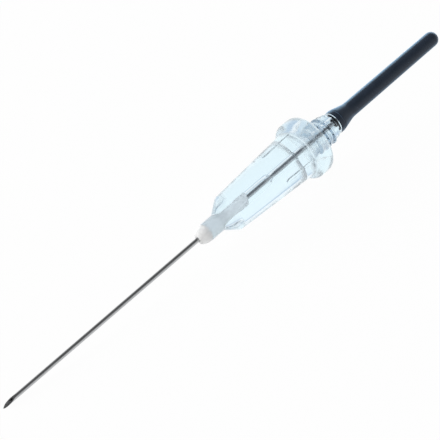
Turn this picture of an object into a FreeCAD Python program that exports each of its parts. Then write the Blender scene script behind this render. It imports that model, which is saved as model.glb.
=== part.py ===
import FreeCAD, Part
import math
import os
import Sketcher

# A double-ended needle: a steel tube glued into a clear hub, its back end in a rubber sleeve.
# Every piece is made along its own X axis, which runs from the front point to the sleeve.
# Stations along it are counted from the place where the steel tube leaves the glue.
# All pieces then lie down together, on the point of the needle and the rim of the collar.

doc = FreeCAD.newDocument("needle")
sheet = doc.addObject("Spreadsheet::Sheet", "dims")

# Driving sizes, in millimetres and degrees
DRIVING = {
    # Steel tube
    "tube_dia": 0.64,
    "tube_bore": 0.34,
    "needle_reach": 38.0,
    "bevel_length": 2.45,
    "lancet_length": 1.3,
    "lancet_turn": 32.0,
    "tail_bevel": 1.5,
    "tail_gap": 1.6,
    # Glue
    "glue_height": 1.65,
    "glue_collar": 0.03,
    "glue_step": 0.05,
    "glue_dome": 2.4,
    "glue_fill": 7.66,
    "glue_slant": 0.6,
    "glue_turn": -57.5,
    "glue_gap": 0.01,
    # Hub in front of the collar
    "nose_dia": 2.6,
    "nose_length": 2.35,
    "shoulder_length": 2.2,
    "grip_front_dia": 5.5,
    "grip_rear_dia": 7.06,
    "grip_length": 13.9,
    "rib_count": 4,
    "rib_width": 0.45,
    "rib_length": 5.7,
    "rib_point": 0.45,
    "rib_front_rise": 0.24,
    "rib_rear_rise": 0.13,
    "hub_turn": 67.5,
    # Collar, a cup that is open to the back
    "collar_dia": 8.66,
    "collar_length": 2.8,
    "collar_wall": 1.38,
    "collar_edge": 0.6,
    "collar_round": 1.0,
    "collar_root": 0.5,
    "cup_depth": 2.15,
    # Threaded stem, lip and spigot
    "stem_dia": 3.7,
    "stem_length": 5.65,
    "thread_pitch": 1.0,
    "thread_rise": 0.3,
    "thread_root": 0.62,
    "thread_crest": 0.22,
    "thread_start": 0.16,
    "thread_turns": 4.7,
    "lip_dia": 3.3,
    "lip_length": 0.7,
    "spigot_dia": 2.2,
    "spigot_length": 1.1,
    "barb_dia": 2.45,
    "barb_length": 0.9,
    "spigot_tip_dia": 1.95,
    # Bores of the hub
    "well_mouth_dia": 1.72,
    "well_mouth_length": 1.95,
    "well_taper": 1.8,
    "well_dia": 1.06,
    "well_length": 11.75,
    "well_chamfer": 0.3,
    "passage_gap": 0.06,
    "tail_bore_dia": 1.45,
    "tail_bore_length": 8.6,
    # Rubber sleeve
    "sleeve_gap": 0.02,
    "sleeve_length": 20.88,
    "mouth_dia": 3.26,
    "mouth_band": 0.6,
    "mouth_taper": 2.3,
    "finger_dia": 2.24,
    "finger_end_dia": 2.08,
    "finger_bore": 1.2,
    "finger_end_wall": 0.7,
}

# Sizes and stations that follow from them
DERIVED = {
    "tube_radius": "tube_dia / 2",
    "bore_radius": "tube_bore / 2",
    "nose_front": "glue_height",
    "nose_radius": "nose_dia / 2",
    "shoulder_front": "nose_front + nose_length",
    "shoulder_rear": "shoulder_front + shoulder_length",
    "grip_front_radius": "grip_front_dia / 2",
    "grip_rear_radius": "grip_rear_dia / 2",
    "collar_front": "shoulder_rear + grip_length",
    "collar_rear": "collar_front + collar_length",
    "collar_radius": "collar_dia / 2",
    "collar_land": "collar_front + collar_edge",
    "collar_face": "collar_radius - collar_edge",
    "collar_turn": "collar_rear - collar_round",
    "collar_seat": "collar_radius - collar_round",
    "root_front": "collar_front - collar_root",
    "root_foot": "grip_rear_radius - collar_root * (grip_rear_radius - grip_front_radius) / grip_length",
    "cup_radius": "collar_radius - collar_wall",
    "cup_floor": "collar_rear - cup_depth",
    "stem_radius": "stem_dia / 2",
    "lip_front": "cup_floor + stem_length",
    "lip_rear": "lip_front + lip_length",
    "lip_radius": "lip_dia / 2",
    "spigot_radius": "spigot_dia / 2",
    "barb_front": "lip_rear + spigot_length",
    "barb_radius": "barb_dia / 2",
    "spigot_end": "barb_front + barb_length",
    "spigot_tip": "spigot_tip_dia / 2",
    "rib_front": "collar_front - rib_length",
    "rib_shoulder": "rib_front + rib_point",
    "rib_back": "(collar_front + cup_floor) / 2",
    "rib_half": "rib_width / 2",
    "grip_taper": "(grip_rear_radius - grip_front_radius) / grip_length",
    "rib_front_top": "grip_rear_radius - rib_length * grip_taper + rib_front_rise",
    "rib_rear_top": "grip_rear_radius + rib_rear_rise",
    "rib_trim_front": "rib_front - rib_point",
    "rib_trim_rear": "rib_back + rib_point",
    "well_mouth_radius": "well_mouth_dia / 2",
    "well_neck": "nose_front + well_mouth_length",
    "well_front": "well_neck + well_taper",
    "well_radius": "well_dia / 2",
    "well_rear": "nose_front + well_length",
    "well_narrow": "well_rear + well_chamfer",
    "passage_radius": "tube_radius + passage_gap",
    "tail_bore_radius": "tail_bore_dia / 2",
    "tail_bore_front": "spigot_end - tail_bore_length",
    "thread_front": "cup_floor + thread_start",
    "thread_height": "thread_pitch * thread_turns",
    "thread_foot": "thread_front + thread_root",
    "thread_top": "thread_front + (thread_root - thread_crest) / 2",
    "thread_top_end": "thread_top + thread_crest",
    "thread_base": "stem_radius - thread_rise / 4",
    "thread_radius": "stem_radius + thread_rise",
    "glue_front_radius": "tube_radius + glue_collar",
    "glue_rim": "nose_radius - glue_step",
    "glue_seat": "nose_front - glue_gap",
    "glue_mouth_radius": "well_mouth_radius - glue_gap",
    "glue_radius": "well_radius - glue_gap",
    "glue_rear": "glue_seat + glue_fill",
    "glue_middle": "glue_rear - glue_slant / 2",
    "glue_lean": "glue_slant / 2 * nose_radius / glue_radius",
    "glue_high": "glue_middle + glue_lean",
    "glue_low": "glue_middle - glue_lean",
    "glue_far": "glue_rear + 2 * glue_slant",
    "sleeve_mouth": "lip_rear + sleeve_gap",
    "sleeve_end": "sleeve_mouth + sleeve_length",
    "mouth_radius": "mouth_dia / 2",
    "mouth_rear": "sleeve_mouth + mouth_band",
    "finger_front": "mouth_rear + mouth_taper",
    "finger_radius": "finger_dia / 2",
    "finger_end_radius": "finger_end_dia / 2",
    "finger_turn": "sleeve_end - finger_end_radius",
    "finger_bore_radius": "finger_bore / 2",
    "finger_bore_end": "sleeve_end - finger_end_wall",
    "socket_radius": "spigot_radius + sleeve_gap",
    "socket_barb": "barb_radius + sleeve_gap",
    "socket_tip": "spigot_tip + sleeve_gap",
    "socket_end": "spigot_end + sleeve_gap",
    "socket_step": "barb_front - sleeve_gap",
    "tail_end": "finger_bore_end - tail_gap",
    "tube_length": "needle_reach + tail_end",
    "tail_shoulder": "tube_length - tail_bevel",
    "lancet_foot": "tube_radius * cos(lancet_turn)",
    "rest_run": "collar_land + needle_reach",
    "rest_rise": "collar_face - tube_radius",
    "rest_span": "sqrt(rest_run ^ 2 + rest_rise ^ 2)",
    "rest_pitch": "atan(rest_rise / rest_run) + asin(collar_edge / rest_span)",
    "rest_front": "tube_radius * sin(rest_pitch) - needle_reach * cos(rest_pitch)",
    "rest_back": "finger_turn * cos(rest_pitch) + finger_end_radius",
    "rest_x": "-(rest_front + rest_back) / 2",
    "rest_z": "needle_reach * sin(rest_pitch) + tube_radius * cos(rest_pitch)",
}


def fill_sheet():
    row = 0
    for name, size in DRIVING.items():
        row += 1
        sheet.set(f"A{row}", str(size))
        sheet.setAlias(f"A{row}", name)
    for name, formula in DERIVED.items():
        row += 1
        sheet.set(f"A{row}", "=" + formula)
        sheet.setAlias(f"A{row}", name)
    doc.recompute()


def size(name):
    # A leading minus gives the size the other sign
    found = sheet.get(name.lstrip("-"))
    plain = getattr(found, "Value", found)
    return -plain if name.startswith("-") else plain


def cell(name):
    return "-dims." + name[1:] if name.startswith("-") else "dims." + name


def lay_down(piece, start, turn):
    # start is the station of the piece's own origin, turn its angle about the axis
    across = f"dims.rest_x + ({start}) * cos(dims.rest_pitch)"
    height = f"dims.rest_z + ({start}) * sin(dims.rest_pitch)"
    piece.setExpression(
        "Placement",
        f"placement(vector({across}; 0; {height}); rotation(0; -dims.rest_pitch; {turn}))",
    )


def new_body(name, start, turn):
    body = doc.addObject("PartDesign::Body", name)
    body.Label = name
    lay_down(body, start, turn)
    return body


def origin_feature(body, role):
    for feature in body.Origin.OriginFeatures:
        if feature.Role == role:
            return feature


def new_sketch(body, name, role):
    sketch = body.newObject("Sketcher::SketchObject", name)
    sketch.AttachmentSupport = [(origin_feature(body, role), "")]
    sketch.MapMode = "FlatFace"
    return sketch


def round_segment(start, end, radius, side):
    # side is 1 where the centre lies to the left of the way from start to end, and -1 to the right
    chord = end - start
    middle = (start + end) * 0.5
    reach = math.sqrt(max(radius**2 - (chord.Length / 2) ** 2, 0.0))
    left = FreeCAD.Vector(-chord.y, chord.x, 0).normalize()
    centre = middle + left * reach * side
    first = math.atan2(start.y - centre.y, start.x - centre.x)
    last = math.atan2(end.y - centre.y, end.x - centre.x)
    if side < 0:
        first, last = last, first
    if last < first:
        last += 2 * math.pi
    circle = Part.Circle(centre, FreeCAD.Vector(0, 0, 1), radius)
    return Part.ArcOfCircle(circle, first, last)


def bind(sketch, constraint, formula):
    index = sketch.addConstraint(constraint)
    sketch.setExpression(f"Constraints[{index}]", formula)


def pin_corner(sketch, geometry, end, axis, place):
    # A corner lies at the named distance from the sketch's origin, or on its axis where place is None
    if place is None:
        other_axis = -1 if axis == "DistanceY" else -2
        sketch.addConstraint(Sketcher.Constraint("PointOnObject", geometry, end, other_axis))
    else:
        bind(
            sketch,
            Sketcher.Constraint(axis, -1, 1, geometry, end, size(place)),
            cell(place),
        )


def outline(body, name, role, corners, rounds=None):
    # corners are pairs of named sizes; rounds gives a segment's named radius and the side of its centre
    rounds = rounds or {}
    sketch = new_sketch(body, name, role)
    points = []
    for along, away in corners:
        points.append(
            FreeCAD.Vector(size(along) if along else 0.0, size(away) if away else 0.0, 0)
        )
    ends = []
    for index, start in enumerate(points):
        end = points[(index + 1) % len(points)]
        if index in rounds:
            radius, side = rounds[index]
            geometry = sketch.addGeometry(round_segment(start, end, size(radius), side), False)
            ends.append((geometry, 1, 2) if side > 0 else (geometry, 2, 1))
        else:
            geometry = sketch.addGeometry(Part.LineSegment(start, end), False)
            ends.append((geometry, 1, 2))
    for index, (geometry, first, last) in enumerate(ends):
        following = ends[(index + 1) % len(ends)]
        sketch.addConstraint(
            Sketcher.Constraint("Coincident", geometry, last, following[0], following[1])
        )
        along, away = corners[index]
        pin_corner(sketch, geometry, first, "DistanceX", along)
        pin_corner(sketch, geometry, first, "DistanceY", away)
    for index, (radius, _) in rounds.items():
        bind(
            sketch,
            Sketcher.Constraint("Radius", ends[index][0], size(radius)),
            cell(radius),
        )
    return sketch


def turned(body, kind, sketch):
    # A Revolution or a Groove, all the way round the sketch's own horizontal axis
    feature = body.newObject(f"PartDesign::{kind}", f"{sketch.Name}_{kind.lower()}")
    feature.Profile = sketch
    feature.ReferenceAxis = (sketch, ["H_Axis"])
    feature.Angle = 360.0
    sketch.Visibility = False
    return feature


def cut_through(body, sketch):
    pocket = body.newObject("PartDesign::Pocket", f"{sketch.Name}_cut")
    pocket.Profile = sketch
    pocket.Type = 1
    pocket.Midplane = True
    sketch.Visibility = False
    return pocket


def make_cannula():
    # The front point lies lowest as the needle rests, and its bevel faces up
    body = new_body("cannula", "-dims.needle_reach", "0")
    wall = [
        (None, "bore_radius"),
        ("tube_length", "bore_radius"),
        ("tube_length", "tube_radius"),
        (None, "tube_radius"),
    ]
    turned(body, "Revolution", outline(body, "tube_wall", "XZ_Plane", wall))
    bevel = [
        (None, "-tube_radius"),
        ("bevel_length", "tube_radius"),
        ("bevel_length", "tube_dia"),
        (None, "tube_dia"),
    ]
    cut_through(body, outline(body, "bevel", "XZ_Plane", bevel))
    facet = [
        (None, "-lancet_foot"),
        ("lancet_length", "tube_radius"),
        ("lancet_length", "tube_dia"),
        (None, "tube_dia"),
    ]
    for name, sign in (("near_facet", ""), ("far_facet", "-")):
        sketch = outline(body, name, "XZ_Plane", facet)
        turn = f"rotation(0; 0; {sign}dims.lancet_turn)"
        sketch.setExpression("AttachmentOffset", f"placement(vector(0; 0; 0); {turn})")
        cut_through(body, sketch)
    tail = [
        ("tube_length", "-tube_radius"),
        ("tail_shoulder", "tube_radius"),
        ("tail_shoulder", "tube_dia"),
        ("tube_length", "tube_dia"),
    ]
    cut_through(body, outline(body, "tail_bevel_shape", "XZ_Plane", tail))
    return body


def make_adhesive():
    # A domed bead on the nose, and the fill behind it with a slanted end
    body = new_body("adhesive", "0", "dims.glue_turn")
    bead = [
        (None, "tube_radius"),
        (None, "glue_front_radius"),
        ("glue_seat", "glue_rim"),
        ("glue_seat", "glue_mouth_radius"),
        ("well_neck", "glue_mouth_radius"),
        ("well_front", "glue_radius"),
        ("glue_far", "glue_radius"),
        ("glue_far", "tube_radius"),
    ]
    turned(body, "Revolution", outline(body, "bead", "XZ_Plane", bead, {1: ("glue_dome", -1)}))
    slant = [
        ("glue_high", "nose_radius"),
        ("glue_low", "-nose_radius"),
        ("glue_far", "-nose_radius"),
        ("glue_far", "nose_radius"),
    ]
    cut_through(body, outline(body, "slant", "XZ_Plane", slant))
    return body


def add_ribs(body):
    # Pointed ribs, cut back to a cone that stands a little proud of the grip
    plan = [
        ("rib_front", None),
        ("rib_shoulder", "rib_half"),
        ("rib_back", "rib_half"),
        ("rib_back", "-rib_half"),
        ("rib_shoulder", "-rib_half"),
    ]
    sketch = outline(body, "rib_plan", "XY_Plane", plan)
    rib = body.newObject("PartDesign::Pad", "rib")
    rib.Profile = sketch
    rib.setExpression("Length", "dims.collar_radius")
    sketch.Visibility = False
    doc.recompute()
    ring = body.newObject("PartDesign::PolarPattern", "ribs")
    ring.Originals = [rib]
    ring.Axis = (origin_feature(body, "X_Axis"), [""])
    ring.Angle = 360.0
    ring.setExpression("Occurrences", "dims.rib_count")
    body.Tip = ring
    doc.recompute()
    trim = [
        ("rib_trim_front", "rib_front_top"),
        ("rib_front", "rib_front_top"),
        ("collar_front", "rib_rear_top"),
        ("rib_trim_rear", "rib_rear_top"),
        ("rib_trim_rear", "collar_dia"),
        ("rib_trim_front", "collar_dia"),
    ]
    turned(body, "Groove", outline(body, "rib_trim", "XZ_Plane", trim))


def add_thread(body):
    # One ridge with sloping flanks that winds back along the stem
    ridge = [
        ("thread_front", "thread_base"),
        ("thread_foot", "thread_base"),
        ("thread_top_end", "thread_radius"),
        ("thread_top", "thread_radius"),
    ]
    sketch = outline(body, "ridge", "XZ_Plane", ridge)
    thread = body.newObject("PartDesign::AdditiveHelix", "thread")
    thread.Profile = sketch
    thread.ReferenceAxis = (sketch, ["H_Axis"])
    thread.Mode = 0
    thread.setExpression("Pitch", "dims.thread_pitch")
    thread.setExpression("Height", "dims.thread_height")
    sketch.Visibility = False


def make_hub():
    body = new_body("hub", "0", "dims.hub_turn")
    add_ribs(body)
    outside = [
        ("nose_front", None),
        ("nose_front", "nose_radius"),
        ("shoulder_front", "nose_radius"),
        ("shoulder_rear", "grip_front_radius"),
        ("root_front", "root_foot"),
        ("collar_front", "collar_face"),
        ("collar_land", "collar_radius"),
        ("collar_turn", "collar_radius"),
        ("collar_rear", "collar_seat"),
        ("collar_rear", "cup_radius"),
        ("cup_floor", "cup_radius"),
        ("cup_floor", "stem_radius"),
        ("lip_front", "stem_radius"),
        ("lip_front", "lip_radius"),
        ("lip_rear", "lip_radius"),
        ("lip_rear", "spigot_radius"),
        ("barb_front", "spigot_radius"),
        ("barb_front", "barb_radius"),
        ("spigot_end", "spigot_tip"),
        ("spigot_end", None),
    ]
    rounds = {5: ("collar_edge", -1), 7: ("collar_round", -1)}
    turned(body, "Revolution", outline(body, "outside", "XZ_Plane", outside, rounds))
    add_thread(body)
    bores = [
        ("nose_front", None),
        ("nose_front", "well_mouth_radius"),
        ("well_neck", "well_mouth_radius"),
        ("well_front", "well_radius"),
        ("well_rear", "well_radius"),
        ("well_narrow", "passage_radius"),
        ("tail_bore_front", "passage_radius"),
        ("tail_bore_front", "tail_bore_radius"),
        ("spigot_end", "tail_bore_radius"),
        ("spigot_end", None),
    ]
    turned(body, "Groove", outline(body, "bores", "XZ_Plane", bores))
    return body


def make_sleeve():
    # A closed finger of rubber, whose wide mouth grips the barbed spigot
    body = new_body("sleeve", "0", "0")
    wall = [
        ("sleeve_mouth", "socket_radius"),
        ("sleeve_mouth", "mouth_radius"),
        ("mouth_rear", "mouth_radius"),
        ("finger_front", "finger_radius"),
        ("finger_turn", "finger_end_radius"),
        ("sleeve_end", None),
        ("finger_bore_end", None),
        ("finger_bore_end", "finger_bore_radius"),
        ("socket_end", "finger_bore_radius"),
        ("socket_end", "socket_tip"),
        ("socket_step", "socket_barb"),
        ("socket_step", "socket_radius"),
    ]
    rounds = {4: ("finger_end_radius", -1)}
    turned(body, "Revolution", outline(body, "sleeve_wall", "XZ_Plane", wall, rounds))
    return body


def check(pieces):
    for item in doc.Objects:
        for flag in ("Invalid", "Error"):
            if flag in item.State:
                raise RuntimeError(f"{item.Name} did not build: {item.State}")
    for piece in pieces:
        shape = piece.Shape
        if shape.isNull() or not shape.isValid() or len(shape.Solids) != 1:
            raise RuntimeError(f"{piece.Label} is not one sound solid")


def write(pieces):
    os.makedirs("parts", exist_ok=True)
    for piece in pieces:
        piece.Shape.exportStep(f"parts/{piece.Label}.step")
        print(piece.Label, round(piece.Shape.Volume, 3), "mm3", piece.Shape.BoundBox)


fill_sheet()
pieces = [make_cannula(), make_adhesive(), make_hub(), make_sleeve()]
doc.recompute()
check(pieces)
write(pieces)
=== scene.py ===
import math

import bmesh
import bpy
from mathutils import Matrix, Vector


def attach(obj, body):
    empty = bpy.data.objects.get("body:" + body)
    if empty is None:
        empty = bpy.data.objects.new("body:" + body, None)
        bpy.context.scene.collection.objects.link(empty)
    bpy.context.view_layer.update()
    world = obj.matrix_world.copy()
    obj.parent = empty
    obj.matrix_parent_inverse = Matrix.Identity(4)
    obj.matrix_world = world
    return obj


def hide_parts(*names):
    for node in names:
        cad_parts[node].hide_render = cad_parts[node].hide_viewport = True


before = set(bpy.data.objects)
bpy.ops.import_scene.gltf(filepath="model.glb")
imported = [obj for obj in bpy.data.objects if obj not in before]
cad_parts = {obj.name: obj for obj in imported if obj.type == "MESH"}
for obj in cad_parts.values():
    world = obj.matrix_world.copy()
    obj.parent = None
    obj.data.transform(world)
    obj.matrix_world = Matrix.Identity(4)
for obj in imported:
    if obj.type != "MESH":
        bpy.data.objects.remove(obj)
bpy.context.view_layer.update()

# Lengths are in millimetres, unless a comment says metres. MM turns them into metres
MM = 0.001

# How the needle lies: its axis rises towards the sleeve, as in the CAD model. The steel tube
# leaves the glue at REST_X and REST_Z, and stations along the axis are counted from there
PITCH = math.radians(3.9093607)
REST_X = -5.0004843
REST_Z = 2.9100303


def at(along, up=0.0, side=0.0):
    x = REST_X + along * math.cos(PITCH) - up * math.sin(PITCH)
    z = REST_Z + along * math.sin(PITCH) + up * math.cos(PITCH)
    return Vector((x, side, z)) * MM


def ring_point(along, radius, angle):
    # The angle runs about the axis from straight up towards -Y, in radians
    return at(along, radius * math.cos(angle), -radius * math.sin(angle))


def ring(station, radius, steps):
    """A ring of points. Its station along the axis is a length, or gives one for each angle."""
    points = []
    for step in range(steps):
        angle = math.tau * step / steps
        along = station(angle) if callable(station) else station
        points.append(ring_point(along, radius, angle))
    return points


# ---------- meshes


def grid_mesh(name, rows):
    """A closed skin through rings of points, the last of which joins the first.

    A row of one point is a pole. Nothing joins a pole to a pole."""
    mesh = bmesh.new()
    made = [[mesh.verts.new(point) for point in row] for row in rows]
    count = max(len(row) for row in rows)
    for first, second in zip(made, made[1:] + made[:1]):
        if len(first) == 1 and len(second) == 1:
            continue
        for index in range(count):
            after = (index + 1) % count
            if len(first) == 1:
                mesh.faces.new((first[0], second[index], second[after]))
            elif len(second) == 1:
                mesh.faces.new((first[index], second[0], first[after]))
            else:
                mesh.faces.new((first[index], second[index], second[after], first[after]))
    bmesh.ops.recalc_face_normals(mesh, faces=mesh.faces)
    if mesh.calc_volume() < 0:
        bmesh.ops.reverse_faces(mesh, faces=mesh.faces)
    data = bpy.data.meshes.new(name)
    mesh.to_mesh(data)
    mesh.free()
    piece = bpy.data.objects.new(name, data)
    bpy.context.scene.collection.objects.link(piece)
    return piece


def soften(piece, degrees):
    """Shades the piece smooth, except over edges that turn by more than the given angle."""
    piece.data.shade_smooth()
    with_sharp = bmesh.new()
    with_sharp.from_mesh(piece.data)
    for edge in with_sharp.edges:
        if len(edge.link_faces) == 2 and edge.calc_face_angle() > math.radians(degrees):
            edge.smooth = False
    with_sharp.to_mesh(piece.data)
    with_sharp.free()


def rounded(corners, steps, closed=False):
    """A profile of stations and radii, from corners that each give a fillet's radius too.

    An open profile's two ends stay as they are."""
    points = [Vector(corner[:2]) for corner in corners]
    count = len(points)
    out = []
    for index, (along, away, fillet) in enumerate(corners):
        if fillet == 0.0 or (not closed and index in (0, count - 1)):
            out.append((along, away))
            continue
        here = points[index]
        before = (points[index - 1] - here).normalized()
        after = (points[(index + 1) % count] - here).normalized()
        half = before.angle(after) / 2
        centre = here + (before + after).normalized() * (fillet / math.sin(half))
        spoke = here + before * (fillet / math.tan(half)) - centre
        turn = spoke.angle_signed(here + after * (fillet / math.tan(half)) - centre)
        for step in range(steps + 1):
            part = turn * step / steps
            cosine, sine = math.cos(part), math.sin(part)
            offset = Vector((spoke.x * cosine + spoke.y * sine, spoke.y * cosine - spoke.x * sine))
            out.append(tuple(centre + offset))
    return out


def spread(points, longest):
    """Adds stations so that no step of a profile is longer than the given length."""
    out = [points[0]]
    for start, end in zip(points, points[1:]):
        parts = max(1, math.ceil(math.dist(start, end) / longest))
        for part in range(1, parts + 1):
            share = part / parts
            out.append(tuple(low + (high - low) * share for low, high in zip(start, end)))
    return out


def smoothstep(low, high, value):
    share = min(1.0, max(0.0, (value - low) / (high - low)))
    return share * share * (3 - 2 * share)


# ---------- the hub

# Stations along the axis, front to back
NOSE_FRONT = 1.65
WELL_NECK = 3.6
SHOULDER_FRONT = 4.0
WELL_FRONT = 5.4
SHOULDER_REAR = 6.2
WELL_REAR = 13.4
WELL_NARROW = 13.7
ROOT_FRONT = 19.7
COLLAR_FRONT = 20.1
TAIL_BORE_FRONT = 20.5
CUP_FLOOR = 20.75
COLLAR_REAR = 22.9
LIP_FRONT = 26.4
LIP_REAR = 27.1
BARB_FRONT = 28.2
SPIGOT_END = 29.1

# Radii
NOSE_R = 1.3
GRIP_R = 2.75
GRIP_REAR_R = 3.53
COLLAR_R = 4.33
CUP_R = 2.95
STEM_R = 1.85
LIP_R = 1.65
SPIGOT_R = 1.1
BARB_R = 1.225
SPIGOT_TIP_R = 0.975
WELL_R = 0.53
MOUTH_R = 0.86
PASSAGE_R = 0.38
TAIL_BORE_R = 0.725

# Ribs: the angle of the first one, and tops that rise from the first radius at their front to
# the second at the collar
RIB_TURN = math.radians(-22.5)
RIB_COUNT = 4
RIB_FRONT = 14.4
RIB_POINT = 0.45
RIB_HALF = 0.225
RIB_TIP_HALF = 0.012
RIB_TOP = (3.45, 3.66)
# The grip is still plain this far in front of the ribs, and a station this near its radius
# belongs to it
RIB_STEP = 0.004
NEAR_GRIP = 0.35
# Grid lines across a rib: the place in half widths, and the height as a share of the rib's
RIB_LINES = ((-1.0, 0.0), (-0.9, 0.82), (-0.72, 1.0), (0.0, 1.0), (0.72, 1.0), (0.9, 0.82))

# Thread: the angle and station where it starts, and a ridge with smooth flanks whose two ends
# fade over a share of a turn. A flank is where it begins and ends, from the ridge's front
THREAD_FRONT = 20.91
THREAD_PITCH = 1.0
THREAD_TURNS = 4.7
THREAD_TURN = math.radians(67.5)
THREAD_RISE = 0.3
THREAD_FADE = 0.12
FRONT_FLANK = (0.0, 0.3)
REAR_FLANK = (0.4, 0.7)

# Longest steps of the grid along the threaded stem and elsewhere, and steps between two ribs
STEM_GRID = 0.045
HUB_GRID = 1.2
BETWEEN_RIBS = 40


def grip_radius(along):
    share = (along - SHOULDER_REAR) / (COLLAR_FRONT - SHOULDER_REAR)
    return GRIP_R + (GRIP_REAR_R - GRIP_R) * share


def rib_half(along):
    """Half the width of a rib, which widens from its point."""
    if along < RIB_FRONT:
        return RIB_HALF
    return max(RIB_TIP_HALF, RIB_HALF * min(1.0, (along - RIB_FRONT) / RIB_POINT))


def rib_top(along):
    share = (along - RIB_FRONT) / (COLLAR_FRONT - RIB_FRONT)
    return RIB_TOP[0] + (RIB_TOP[1] - RIB_TOP[0]) * share


def on_stem(radius):
    return abs(radius - STEM_R) < 1e-6


def ridge(along, angle):
    """How far the thread stands out of the stem at a place."""
    turn = ((angle - THREAD_TURN) / math.tau) % 1.0
    height = 0.0
    for lap in range(int(THREAD_TURNS) + 1):
        run = turn + lap
        place = along - THREAD_FRONT - run * THREAD_PITCH
        if run <= THREAD_TURNS and FRONT_FLANK[0] < place < REAR_FLANK[1]:
            rise = min(smoothstep(*FRONT_FLANK, place), 1 - smoothstep(*REAR_FLANK, place))
            fade = smoothstep(0.0, THREAD_FADE, run)
            fade *= 1 - smoothstep(THREAD_TURNS - THREAD_FADE, THREAD_TURNS, run)
            height = max(height, THREAD_RISE * rise * fade)
    return height


def grip_corner(along, fillet=0.0):
    return (along, grip_radius(along), fillet)


def make_hub():
    # The outside from the mouth of the well to the spigot, then the bores back to the mouth
    corners = [
        (NOSE_FRONT, MOUTH_R, 0.0),
        (NOSE_FRONT, NOSE_R, 0.12),
        (SHOULDER_FRONT, NOSE_R, 0.5),
        (SHOULDER_REAR, GRIP_R, 0.7),
        grip_corner(RIB_FRONT - RIB_STEP),
        grip_corner(RIB_FRONT),
        grip_corner(RIB_FRONT + RIB_POINT),
        grip_corner(ROOT_FRONT, 0.4),
        (COLLAR_FRONT, COLLAR_R, 0.94),
        (COLLAR_REAR, COLLAR_R, 1.05),
        (COLLAR_REAR, CUP_R, 0.12),
        (CUP_FLOOR, CUP_R, 0.3),
        (CUP_FLOOR, STEM_R, 0.25),
        (LIP_FRONT, STEM_R, 0.08),
        (LIP_FRONT, LIP_R, 0.0),
        (LIP_REAR, LIP_R, 0.1),
        (LIP_REAR, SPIGOT_R, 0.0),
        (BARB_FRONT, SPIGOT_R, 0.0),
        (BARB_FRONT, BARB_R, 0.05),
        (SPIGOT_END, SPIGOT_TIP_R, 0.08),
        (SPIGOT_END, TAIL_BORE_R, 0.0),
        (TAIL_BORE_FRONT, TAIL_BORE_R, 0.05),
        (TAIL_BORE_FRONT, PASSAGE_R, 0.0),
        (WELL_NARROW, PASSAGE_R, 0.0),
        (WELL_REAR, WELL_R, 0.0),
        (WELL_FRONT, WELL_R, 0.0),
        (WELL_NECK, MOUTH_R, 0.0),
    ]
    profile = rounded(corners, steps=5, closed=True)
    stations = []
    for start, end in zip(profile, profile[1:] + profile[:1]):
        longest = STEM_GRID if on_stem(start[1]) and on_stem(end[1]) else HUB_GRID
        stations.extend(spread([start, end], longest)[:-1])

    # Lines of the grid: the rib's angle, the place across it, the height, and a share of the
    # way from its far edge to the next rib
    apart = math.tau / RIB_COUNT
    lines = []
    for rib in range(RIB_COUNT):
        middle = RIB_TURN + rib * apart
        lines += [(middle, across, rise, 0.0) for across, rise in RIB_LINES]
        lines += [(middle, 1.0, 0.0, step / BETWEEN_RIBS) for step in range(BETWEEN_RIBS)]
    rows = []
    for along, radius in stations:
        beside_grip = abs(radius - grip_radius(along)) < NEAR_GRIP
        on_grip = beside_grip and RIB_FRONT <= along <= COLLAR_FRONT
        wide = math.asin(rib_half(along) / max(radius, RIB_HALF * 2))
        row = []
        for middle, across, rise, share in lines:
            angle = middle + across * wide + (apart - 2 * wide) * share
            reach = radius
            if on_grip:
                reach = max(radius, radius + (rib_top(along) - radius) * rise)
            elif on_stem(radius):
                reach = radius + ridge(along, angle)
            row.append(ring_point(along, reach, angle))
        rows.append(row)
    hub = grid_mesh("hub_clear", rows)
    soften(hub, 32)
    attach(hub, "root")
    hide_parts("hub")
    return hub


# ---------- the glue

BEAD_R = 1.28
BEAD_GAP = 0.01
BEAD_ROUNDNESS = 0.9
BEAD_STEPS = 14
GLUE_FRONT_R = 0.33
GLUE_REAR = 9.0
GLUE_SLANT = 0.3
GLUE_TURN = math.radians(57.5 - 90)
# The glue's bore lies inside the steel's wall, and its skin just inside the plastic it wets
GLUE_BORE_R = 0.2
GLUE_WET = 0.012
# A small step back behind the bead's front edge and behind its rim
GLUE_STEP = 0.02
# The rear face climbs this far towards the steel, over this width from the well's wall
CLIMB = 0.12
CLIMB_WIDTH = 0.2
# How far in front of the slanted rear face the well's last rings lie, and the face's radii
SETBACKS = (2.4, 1.2, 0.5, 0.2, 0.06, 0.0)
REAR_FACE = (0.5, 0.45, 0.39, 0.35, 0.33)
GLUE_STEPS = 96


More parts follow.
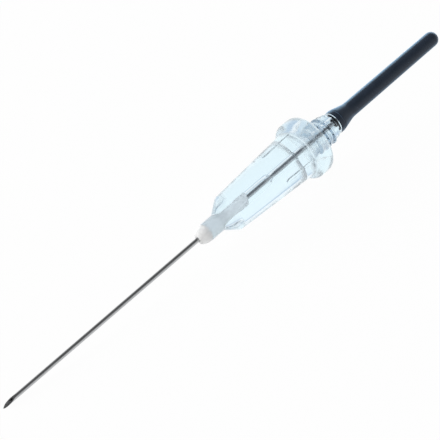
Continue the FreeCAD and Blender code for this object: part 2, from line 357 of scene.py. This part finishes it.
def make_glue():
    """A domed bead on the nose and the fill in the well. It wets the plastic all round."""
    well_wet = WELL_R + GLUE_WET
    mouth_wet = MOUTH_R + GLUE_WET
    base = NOSE_FRONT - BEAD_GAP
    profile = [(GLUE_STEP, GLUE_BORE_R)]
    for step in range(BEAD_STEPS + 1):
        angle = step / BEAD_STEPS * math.pi / 2
        radius = GLUE_FRONT_R + (BEAD_R - GLUE_FRONT_R) * math.sin(angle) ** BEAD_ROUNDNESS
        profile.append((base * (1 - math.cos(angle)), radius))
    profile += [
        (base + GLUE_STEP, mouth_wet),
        (WELL_NECK, mouth_wet),
        ((WELL_NECK + WELL_FRONT) / 2, (well_wet + mouth_wet) / 2),
        (WELL_FRONT, well_wet),
    ]
    rows = [ring(along, radius, GLUE_STEPS) for along, radius in profile]

    def slanted(radius, move, lean):
        def station(angle):
            return GLUE_REAR + GLUE_SLANT * math.cos(angle - GLUE_TURN) * lean + move

        return ring(station, radius, GLUE_STEPS)

    for back in SETBACKS:
        rows.append(slanted(well_wet, -back, 1.0))
    for radius in REAR_FACE:
        climb = CLIMB * ((WELL_R - radius) / CLIMB_WIDTH) ** 2
        rows.append(slanted(radius, climb, radius / well_wet))
    rows.append(ring(GLUE_REAR - GLUE_SLANT, GLUE_BORE_R, GLUE_STEPS))
    glue = grid_mesh("glue", rows)
    soften(glue, 35)
    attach(glue, "root")
    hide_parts("adhesive")
    return glue


# ---------- the steel tube

TUBE_R = 0.32
TUBE_BORE_R = 0.17
TUBE_LENGTH = 83.7
# The front point stands this far in front of the glue
REACH = 38.0
BEVEL = 2.45
LANCET = 1.3
LANCET_TURN = math.radians(32)
TAIL_BEVEL = 1.5
TUBE_EDGE = 0.012
# Stations from the front point where the tube is whole, clear of its ground ends
WHOLE_FRONT = 2.6
WHOLE_MIDDLE = 40.0
WHOLE_REAR = 81.0
TUBE_GRID = 10
TUBE_STEPS = 128


def front_end(radius, angle):
    """How far behind the front point the tube begins, at a place in its section."""
    height, sidewise = radius * math.cos(angle), radius * math.sin(angle)
    foot = TUBE_R * math.cos(LANCET_TURN)
    cuts = [0.0, BEVEL * (height + TUBE_R) / (2 * TUBE_R)]
    for sign in (1, -1):
        turned = height * math.cos(LANCET_TURN) + sign * sidewise * math.sin(LANCET_TURN)
        cuts.append(LANCET * (turned + foot) / (TUBE_R + foot))
    return max(cuts)


def back_end(radius, angle):
    height = radius * math.cos(angle)
    return TUBE_LENGTH - TAIL_BEVEL * (height + TUBE_R) / (2 * TUBE_R)


def make_tube():
    def ground(end, radius, back=0.0):
        return ring(lambda angle: end(radius, angle) + back - REACH, radius, TUBE_STEPS)

    def plain(radius, *stops):
        return [ring(stop - REACH, radius, TUBE_STEPS) for stop in stops]

    rows = [
        ground(front_end, TUBE_BORE_R),
        ground(front_end, TUBE_R - TUBE_EDGE),
        ground(front_end, TUBE_R, TUBE_EDGE),
        *plain(TUBE_R, WHOLE_FRONT, *range(TUBE_GRID, int(WHOLE_REAR), TUBE_GRID), WHOLE_REAR),
        ground(back_end, TUBE_R),
        ground(back_end, TUBE_BORE_R),
        *plain(TUBE_BORE_R, WHOLE_REAR, WHOLE_MIDDLE, WHOLE_FRONT),
    ]
    tube = grid_mesh("steel_tube", rows)
    soften(tube, 25)
    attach(tube, "root")
    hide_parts("cannula")
    return tube


# ---------- the rubber sleeve

SLEEVE_FRONT = 27.12
SLEEVE_END = 47.998
# Behind its front: the end of the mouth's band, the crease, its far side, the taper's end
BAND_END = 0.66
CREASE = 0.74
BEHIND_CREASE = 0.84
TAPER_END = 2.9
SLEEVE_MOUTH_R = 1.66
CREASE_R = 1.57
BEHIND_CREASE_R = 1.62
FINGER_R = 1.12
FINGER_END_R = 1.04
FINGER_BORE_R = 0.6
END_WALL = 0.7
SOCKET_GAP = 0.02
SOCKET_R = 1.12
SOCKET_BARB_R = 1.245
SOCKET_TIP_R = 0.995
TIP_STEPS = 12
SLEEVE_STEPS = 144


def make_sleeve():
    """A closed finger of rubber, with a crease behind the band of its mouth."""
    turn = SLEEVE_END - FINGER_END_R
    outside = [
        (SLEEVE_FRONT, SOCKET_R, 0.0),
        (SLEEVE_FRONT, SLEEVE_MOUTH_R, 0.12),
        (SLEEVE_FRONT + BAND_END, SLEEVE_MOUTH_R, 0.05),
        (SLEEVE_FRONT + CREASE, CREASE_R, 0.03),
        (SLEEVE_FRONT + BEHIND_CREASE, BEHIND_CREASE_R, 0.2),
        (SLEEVE_FRONT + TAPER_END, FINGER_R, 3.0),
        (turn, FINGER_END_R, 0.0),
    ]
    profile = spread(rounded(outside, steps=6), 1.0)
    for step in range(1, TIP_STEPS):
        angle = step / TIP_STEPS * math.pi / 2
        profile.append((turn + FINGER_END_R * math.sin(angle), FINGER_END_R * math.cos(angle)))
    inside = [
        (SLEEVE_END - END_WALL, FINGER_BORE_R),
        (SPIGOT_END + SOCKET_GAP, FINGER_BORE_R),
        (SPIGOT_END + SOCKET_GAP, SOCKET_TIP_R),
        (BARB_FRONT - SOCKET_GAP, SOCKET_BARB_R),
        (BARB_FRONT - SOCKET_GAP, SOCKET_R),
    ]
    rows = [ring(along, radius, SLEEVE_STEPS) for along, radius in profile]
    rows += [[at(SLEEVE_END)], [at(SLEEVE_END - END_WALL)]]
    rows += [ring(along, radius, SLEEVE_STEPS) for along, radius in inside]
    sleeve = grid_mesh("rubber_sleeve", rows)
    soften(sleeve, 40)
    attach(sleeve, "root")
    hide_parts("sleeve")
    return sleeve


# ---------- materials


def rgb(red, green, blue):
    return (red, green, blue, 1.0)


def grey(value):
    return rgb(value, value, value)


class Tree:
    """A node tree, with short ways to add nodes. A value is a plain one or a node's output."""

    def __init__(self, owner):
        owner.use_nodes = True
        self.nodes = owner.node_tree.nodes
        self.links = owner.node_tree.links

    def fill(self, node, values):
        """Sets a node's inputs, each by its name or its place."""
        for key, value in values.items():
            if isinstance(value, bpy.types.NodeSocket):
                self.links.new(value, node.inputs[key])
            else:
                node.inputs[key].default_value = value

    def add(self, kind, values=None, **settings):
        node = self.nodes.new(kind)
        for name, setting in settings.items():
            setattr(node, name, setting)
        self.fill(node, values or {})
        return node

    def maths(self, operation, *values):
        node = self.add("ShaderNodeMath", dict(enumerate(values)), operation=operation)
        return node.outputs[0]

    def product(self, first, *others):
        for other in others:
            first = self.maths("MULTIPLY", first, other)
        return first

    def stretch(self, value, low, high, start=0.0, end=1.0):
        """Turns low to high into start to end, and stays at these beyond."""
        sizes = {"Value": value, "From Min": low, "From Max": high, "To Min": start, "To Max": end}
        return self.add("ShaderNodeMapRange", sizes).outputs["Result"]

    def ramp(self, value, *stops):
        """A colour from a value, by stops that are each a position and a colour."""
        node = self.add("ShaderNodeValToRGB", {"Fac": value})
        ends = node.color_ramp.elements
        ends[0].position, ends[0].color = stops[0]
        ends[1].position, ends[1].color = stops[-1]
        for position, colour in stops[1:-1]:
            ends.new(position).color = colour
        return node.outputs["Color"]

    def mixed(self, share, first, second):
        values = {"Factor": share, "A": first, "B": second}
        return self.add("ShaderNodeMix", values, data_type="RGBA").outputs["Result"]

    def place(self, kind):
        """The X, Y and Z of a kind of texture coordinate."""
        where = self.add("ShaderNodeTexCoord").outputs[kind]
        return self.add("ShaderNodeSeparateXYZ", {0: where}).outputs

    def mapped(self, **values):
        """Object coordinates turned so that X runs along the needle's axis."""
        where = self.add("ShaderNodeTexCoord").outputs["Object"]
        values.update(Vector=where, Rotation=(0.0, PITCH, 0.0))
        return self.add("ShaderNodeMapping", values).outputs["Vector"]

    def noise(self, scale, detail, roughness):
        """Noise with one scale along the axis and two across it, in cells for each metre."""
        where = self.mapped(Scale=scale)
        values = {"Vector": where, "Scale": 1.0, "Detail": detail, "Roughness": roughness}
        return self.add("ShaderNodeTexNoise", values).outputs["Fac"]

    def from_axis(self):
        """Metres along the axis from where the tube leaves the glue, and metres out from it."""
        start = (
            -(REST_X * math.cos(PITCH) + REST_Z * math.sin(PITCH)) * MM,
            0.0,
            (REST_X * math.sin(PITCH) - REST_Z * math.cos(PITCH)) * MM,
        )
        where = self.mapped(Location=start)
        along = self.add("ShaderNodeSeparateXYZ", {0: where}).outputs["X"]
        across = self.add(
            "ShaderNodeVectorMath", {0: where, 1: (0.0, 1.0, 1.0)}, operation="MULTIPLY"
        )
        out = self.add("ShaderNodeVectorMath", {0: across.outputs["Vector"]}, operation="LENGTH")
        return along, out.outputs["Value"]

    def facing(self, direction):
        """How far the surface faces a direction: 1 towards it, -1 away from it."""
        normal = self.add("ShaderNodeNewGeometry").outputs["Normal"]
        values = {0: normal, 1: direction}
        return self.add("ShaderNodeVectorMath", values, operation="DOT_PRODUCT").outputs["Value"]

    def bump(self, height, strength, distance):
        values = {"Strength": strength, "Distance": distance * MM, "Height": height}
        return self.add("ShaderNodeBump", values).outputs["Normal"]


def new_material(name):
    material = bpy.data.materials.new(name)
    tree = Tree(material)
    return material, tree, tree.nodes["Principled BSDF"]


def steel_material():
    material, tree, shader = new_material("drawn_steel")
    lines = tree.noise((60.0, 9000.0, 9000.0), 4.0, 0.6)
    looks = {
        "Metallic": 1.0,
        "Base Color": tree.ramp(lines, (0.3, rgb(0.41, 0.42, 0.43)), (0.7, rgb(0.57, 0.58, 0.59))),
        "Roughness": tree.ramp(lines, (0.25, grey(0.2)), (0.75, grey(0.36))),
        "Normal": tree.bump(lines, 0.12, 0.004),
    }
    tree.fill(shader, looks)
    return material


# How rough the collar and its root are, beyond the gloss of the rest of the hub
COLLAR_MATT = 0.09
ROOT_MATT = 0.2
# Painted shade: the dark blue-grey colour given to the thread's flanks in the clear plastic
PAINTED_FLANK_SHADE = rgb(0.28, 0.36, 0.45)


def clear_material():
    material, tree, shader = new_material("clear_moulding")
    cloud = tree.noise((700.0, 1100.0, 1100.0), 3.0, 0.5)
    plastic = tree.ramp(cloud, (0.3, rgb(0.985, 0.995, 1.0)), (0.7, rgb(0.99, 0.998, 1.0)))
    gloss = tree.ramp(cloud, (0.3, grey(0.02)), (0.7, grey(0.06)))
    along, out = tree.from_axis()
    # Behind the collar the thread's flanks get painted shade: a dark colour in the clear plastic
    # stands in for the dark refraction strokes a clear screw shows there
    tilt = tree.maths("ABSOLUTE", tree.facing((math.cos(PITCH), 0.0, math.sin(PITCH))))
    flank = tree.product(
        tree.stretch(tilt, 0.3, 0.6),
        tree.stretch(along, 23.4 * MM, 23.7 * MM),
        tree.stretch(out, 2.3 * MM, 2.5 * MM, 1.0, 0.0),
    )
    # The collar and the root in front of it have the fine matt skin of their mould
    collar = tree.product(
        tree.stretch(along, 19.0 * MM, 19.8 * MM),
        tree.stretch(out, 2.6 * MM, 3.0 * MM, 0.0, COLLAR_MATT),
    )
    root = tree.product(
        tree.stretch(along, 18.6 * MM, 19.2 * MM),
        tree.stretch(along, 19.8 * MM, 20.3 * MM, ROOT_MATT, 0.0),
        tree.stretch(out, 2.6 * MM, 3.0 * MM),
    )
    looks = {
        "Transmission Weight": 1.0,
        "IOR": 1.5,
        # The painted shade on the thread's flanks is mixed into the plastic's colour here
        "Base Color": tree.mixed(flank, plastic, PAINTED_FLANK_SHADE),
        "Roughness": tree.maths("ADD", gloss, tree.maths("ADD", collar, root)),
    }
    tree.fill(shader, looks)
    return material


def glue_material():
    material, tree, shader = new_material("milky_glue")
    cloud = tree.noise((900.0, 900.0, 900.0), 4.0, 0.55)
    looks = {
        "Base Color": tree.ramp(cloud, (0.3, rgb(0.9, 0.93, 0.935)), (0.7, rgb(0.94, 0.97, 0.975))),
        "Roughness": 0.4,
        "Subsurface Weight": 1.0,
        "Subsurface Radius": (1.0, 1.0, 1.0),
        "Subsurface Scale": 0.8 * MM,
        "Normal": tree.bump(cloud, 0.3, 0.03),
    }
    tree.fill(shader, looks)
    return material


def rubber_material():
    material, tree, shader = new_material("blue_black_rubber")
    grain = tree.noise((900.0, 1500.0, 1500.0), 6.0, 0.65)
    rubber = tree.ramp(grain, (0.3, rgb(0.017, 0.027, 0.044)), (0.7, rgb(0.024, 0.036, 0.058)))
    # A blue rim light is painted into the skin's colour where it is seen at a low angle, most of
    # all on the upper side that faces the key lamp: a painted highlight
    rim = tree.add("ShaderNodeLayerWeight", {"Blend": 0.5}).outputs["Facing"]
    painted_rim_light = tree.ramp(rim, (0.36, grey(0.0)), (0.84, grey(1.0)))
    key_side = tree.stretch(tree.facing((0.0, 0.85, 0.53)), -0.2, 0.4, 0.25, 1.0)
    looks = {
        # The base colour carries the painted blue rim highlight
        "Base Color": tree.mixed(tree.product(painted_rim_light, key_side), rubber, rgb(0.34, 0.57, 0.8)),
        "Roughness": tree.ramp(grain, (0.25, grey(0.42)), (0.75, grey(0.58))),
        "Specular IOR Level": 0.33,
        "Sheen Weight": 0.5,
        "Sheen Roughness": 0.3,
        "Sheen Tint": rgb(0.4, 0.62, 1.0),
        "Normal": tree.bump(grain, 0.2, 0.02),
    }
    tree.fill(shader, looks)
    return material


def floor_material():
    """White where it is seen. Seen through the plastic it is cyan, and darker further back."""
    material, tree, shader = new_material("white_floor")
    tree.fill(shader, {"Base Color": grey(0.9), "Roughness": 0.9, "Specular IOR Level": 0.1})
    ray = tree.add("ShaderNodeLightPath").outputs
    seen = tree.maths("MAXIMUM", ray["Is Camera Ray"], ray["Is Glossy Ray"])
    seen = tree.maths("MAXIMUM", seen, ray["Is Transmission Ray"])
    x, y, _ = tree.place("Object")
    back = tree.stretch(y, 10.0 * MM, 22.0 * MM)
    beyond = tree.stretch(tree.maths("ADD", x, y), 18.0 * MM, 36.0 * MM, 0.0, 0.7)
    through = tree.ramp(
        tree.maths("ADD", back, beyond), (0.0, rgb(0.83, 0.99, 1.06)), (1.0, rgb(0.48, 0.64, 0.8))
    )
    colour = tree.mixed(ray["Is Transmission Ray"], grey(1.0), through)
    white = tree.add("ShaderNodeEmission", {"Color": colour, "Strength": 1.0})
    # The rest of the share is left to the floor's own skin, which takes the shadow
    share = tree.product(seen, 0.97)
    mix = tree.add("ShaderNodeMixShader", {0: share, 1: shader.outputs[0], 2: white.outputs[0]})
    tree.fill(tree.nodes["Material Output"], {"Surface": mix.outputs[0]})
    return material


def wear(piece, material):
    piece.data.materials.clear()
    piece.data.materials.append(material)


# ---------- camera, light and stage

# Where the camera stands about the needle, and how far to the right and up of a point over the
# origin it aims, in millimetres
AZIMUTH = math.radians(-47.96)
ELEVATION = math.radians(45.28)
AIM_HEIGHT = 4.0
AIM_RIGHT = -0.412
AIM_UP = -0.789
# Metres from the aim to the camera, and from the floor's middle to its edges
CAMERA_DISTANCE = 1.2
FLOOR_HALF = 3
# Light turns many times inside the clear moulding before it leaves
BOUNCES = 32


def make_camera():
    toward = Vector(
        (
            math.sin(AZIMUTH) * math.cos(ELEVATION),
            -math.cos(AZIMUTH) * math.cos(ELEVATION),
            math.sin(ELEVATION),
        )
    )
    right = Vector((math.cos(AZIMUTH), math.sin(AZIMUTH), 0.0))
    up = toward.cross(right)
    aim = (right * AIM_RIGHT + up * AIM_UP + Vector((0.0, 0.0, AIM_HEIGHT))) * MM
    data = bpy.data.cameras.new("camera")
    data.lens = 739.65
    data.sensor_width = 36.0
    data.clip_start = 0.05
    data.clip_end = 20.0
    camera = bpy.data.objects.new("camera", data)
    camera.location = aim + toward * CAMERA_DISTANCE
    camera.rotation_euler = toward.to_track_quat("Z", "Y").to_euler()
    bpy.context.scene.collection.objects.link(camera)
    bpy.context.scene.camera = camera


def soft_lamp(name, place, size, power):
    """A round lamp that shines on the origin. Its place and size are in metres."""
    data = bpy.data.lights.new(name, "AREA")
    data.shape = "DISK"
    data.size = size
    data.energy = power
    lamp = bpy.data.objects.new(name, data)
    lamp.location = place
    lamp.rotation_euler = Vector(place).to_track_quat("Z", "Y").to_euler()
    # A lamp mirrored in the hub or seen through it would only show as stray white grains
    lamp.visible_transmission = lamp.visible_glossy = False
    bpy.context.scene.collection.objects.link(lamp)


def make_floor():
    mesh = bpy.data.meshes.new("floor")
    corners = [(x * FLOOR_HALF, y * FLOOR_HALF, 0) for x, y in ((-1, -1), (1, -1), (1, 1), (-1, 1))]
    mesh.from_pydata(corners, [], [(0, 1, 2, 3)])
    floor = bpy.data.objects.new("floor", mesh)
    bpy.context.scene.collection.objects.link(floor)
    wear(floor, floor_material())


def make_world():
    """A pale sky that darkens upwards, and a cyan one for what is seen through the plastic."""
    world = bpy.data.worlds.new("studio")
    tree = Tree(world)
    height = tree.place("Generated")["Z"]
    sky = tree.ramp(
        height,
        (0.0, grey(1.0)),
        (0.2, grey(0.85)),
        (0.55, grey(0.35)),
        (0.85, grey(0.12)),
        (1.0, grey(0.12)),
    )
    behind = tree.ramp(
        height,
        (0.0, rgb(0.88, 0.97, 1.05)),
        (0.1, rgb(0.9, 1.0, 1.06)),
        (0.25, rgb(0.85, 0.95, 1.0)),
        (0.5, rgb(0.75, 0.85, 0.92)),
        (0.7, rgb(0.3, 0.34, 0.38)),
        (1.0, rgb(0.25, 0.28, 0.32)),
    )
    # What lights the glue in the hub is brighter than what shows through the hub
    ray = tree.add("ShaderNodeLightPath").outputs
    from_glue = tree.maths("MINIMUM", ray["Diffuse Depth"], 1.0)
    through = tree.mixed(from_glue, behind, rgb(1.1, 1.25, 1.36))
    colour = tree.mixed(ray["Is Transmission Ray"], sky, through)
    tree.fill(tree.nodes["Background"], {"Color": colour, "Strength": 1.0})
    bpy.context.scene.world = world


hub = make_hub()
glue = make_glue()
tube = make_tube()
sleeve = make_sleeve()
wear(hub, clear_material())
wear(glue, glue_material())
wear(tube, steel_material())
wear(sleeve, rubber_material())
make_floor()
make_world()
make_camera()
soft_lamp("key", (-0.25, 0.8, 0.5), 0.6, 6.5)
soft_lamp("fill", (-0.75, -0.5, 0.75), 0.6, 2.5)
bpy.context.scene.view_settings.view_transform = "Standard"
for limit in ("max_bounces", "transmission_bounces", "glossy_bounces", "diffuse_bounces"):
    setattr(bpy.context.scene.cycles, limit, BOUNCES)
